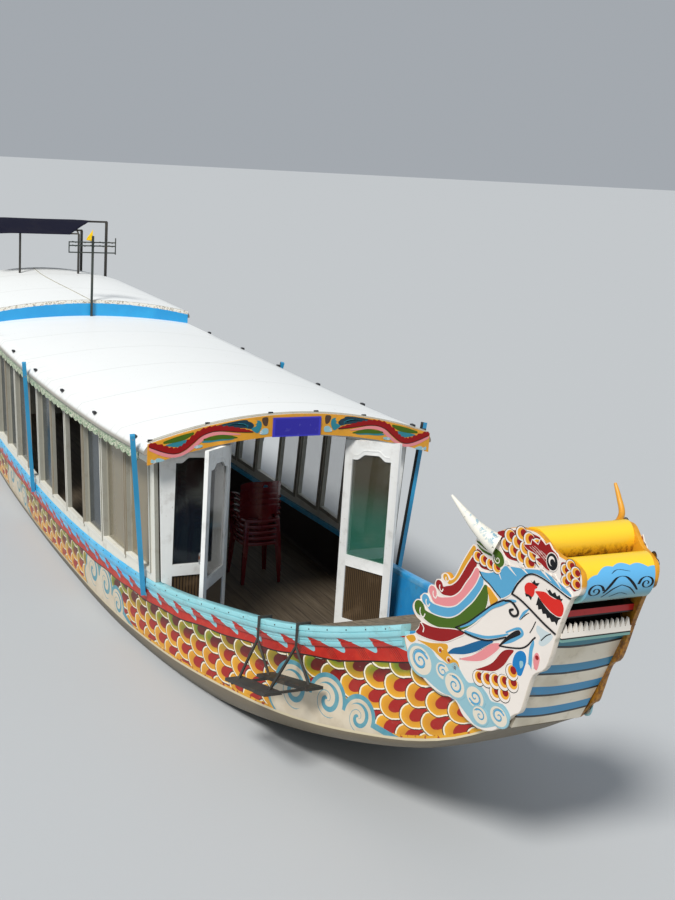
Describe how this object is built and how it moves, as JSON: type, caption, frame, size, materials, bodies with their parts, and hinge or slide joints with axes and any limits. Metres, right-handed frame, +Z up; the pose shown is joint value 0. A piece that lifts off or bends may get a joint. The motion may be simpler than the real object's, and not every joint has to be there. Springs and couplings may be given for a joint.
{
  "type": "river dragon boat",
  "caption": "Long river passenger boat with an arched two-level cabin roof, open fore well, helm canopy aft and a painted dragon's head standing on the bow.",
  "frame": {"origin": "on the waterline, amidships between stern and bow plates, on the centreline", "axes": "+X towards the bow, +Y to port, +Z up"},
  "size_m": [16.035, 2.9973, 3.6994],
  "materials": {
    "hull_paint": "painted in scales, waves and stripes, worn",
    "rail_paint": "sky-blue gloss paint, chipped",
    "deck_wood": "worn boards",
    "frame_paint": "white paint on window and door frames",
    "window_glass": "dark tinted glass in sliding sashes",
    "roof_sheet": "white painted sheet, dusty",
    "fascia_paint": "painted waves and clouds",
    "blue_paint": "bright blue paint",
    "plate_paint": "blank blue plate",
    "pole_paint": "teal-blue paint on bamboo poles",
    "grey_metal": "dull grey tube",
    "dark_metal": "black painted steel, rusty",
    "engine_metal": "plain block",
    "propeller_metal": "dull bronze",
    "cover_fabric": "dark blue tarpaulin",
    "flag_fabric": "yellow cloth",
    "head_paint": "gloss paint in many colours",
    "yellow_paint": "yellow gloss paint, worn",
    "red_paint": "red gloss paint",
    "cream_paint": "cream gloss paint",
    "brown_wood": "dark varnish",
    "lead_sheath": "grey-white cable sheath",
    "chair_plastic": "dark red moulded plastic"
  },
  "bodies": {
    "boat": {"hull": "hull_paint", "helm_deck": "deck_wood", "rub_rail_port": "rail_paint", "rub_rail_starboard": "rail_paint", "main_roof": "roof_sheet", "aft_roof": "roof_sheet", "front_fascia": "fascia_paint", "number_plate": "plate_paint", "aft_fascia": "blue_paint", "side_wall_port": "frame_paint", "side_wall_starboard": "frame_paint", "aft_wall_port": "frame_paint", "aft_wall_starboard": "frame_paint", "sashes_port": "window_glass", "sashes_starboard": "window_glass", "aft_sashes_port": "window_glass", "aft_sashes_starboard": "window_glass", "aft_bulkhead": "frame_paint", "front_panel_port": "frame_paint", "front_panel_starboard": "frame_paint", "front_header": "frame_paint", "pole_starboard_front": "pole_paint", "pole_port_front": "pole_paint", "pole_starboard_aft": "pole_paint", "pole_port_aft": "pole_paint", "head_board_starboard": "head_paint", "head_board_port": "yellow_paint", "brow_roll": "yellow_paint", "snout_roll": "yellow_paint", "tongue": "red_paint", "lower_jaw": "cream_paint", "chest_panel": "cream_paint", "horn_starboard": "cream_paint", "horn_port": "yellow_paint", "tail_board_port": "head_paint", "tail_board_starboard": "head_paint", "boarding_step": "dark_metal", "tv_aerial": "grey_metal", "pennant": "flag_fabric", "aerial_lead": "lead_sheath", "canopy_frame": "grey_metal", "canopy_cover": "cover_fabric", "helm_seat": "brown_wood", "steering_column": "brown_wood", "engine_block": "engine_metal", "propeller_shaft": "grey_metal", "rudder_bearing": "grey_metal", "chair_stack_near": "chair_plastic", "chair_stack_far": "chair_plastic"},
    "door_starboard": {"door_leaf_starboard": "frame_paint"},
    "door_port": {"door_leaf_port": "frame_paint"},
    "wheel": {"steering_wheel": "dark_metal"},
    "propeller": {"propeller": "propeller_metal"},
    "rudder": {"rudder": "dark_metal"}
  },
  "joints": [
    {"name": "door_starboard_hinge", "type": "hinge", "parent": "boat", "child": "door_starboard", "pos_m": [3.304, -0.566, 1.1], "axis": [0, 0, 1], "range_deg": [0, 130]},
    {"name": "door_port_hinge", "type": "hinge", "parent": "boat", "child": "door_port", "pos_m": [3.304, 0.566, 1.1], "axis": [0, 0, 1], "range_deg": [-120, 8]},
    {"name": "rudder_hinge", "type": "hinge", "parent": "boat", "child": "rudder", "pos_m": [-6.56, 0, -0.28], "axis": [0, 0, 1], "range_deg": [-35, 35]},
    {"name": "steering_wheel_spin", "type": "hinge", "parent": "boat", "child": "wheel", "pos_m": [-6.25, 0, 1.56], "axis": [1, 0, 0], "range_deg": [-420, 420]},
    {"name": "propeller_spin", "type": "hinge", "parent": "boat", "child": "propeller", "pos_m": [-6.18, 0, -0.345], "axis": [1, 0, 0], "continuous": true}
  ],
  "couplings": [
    {"joint": "steering_wheel_spin", "follows": "rudder_hinge", "ratio": 12}
  ]
}
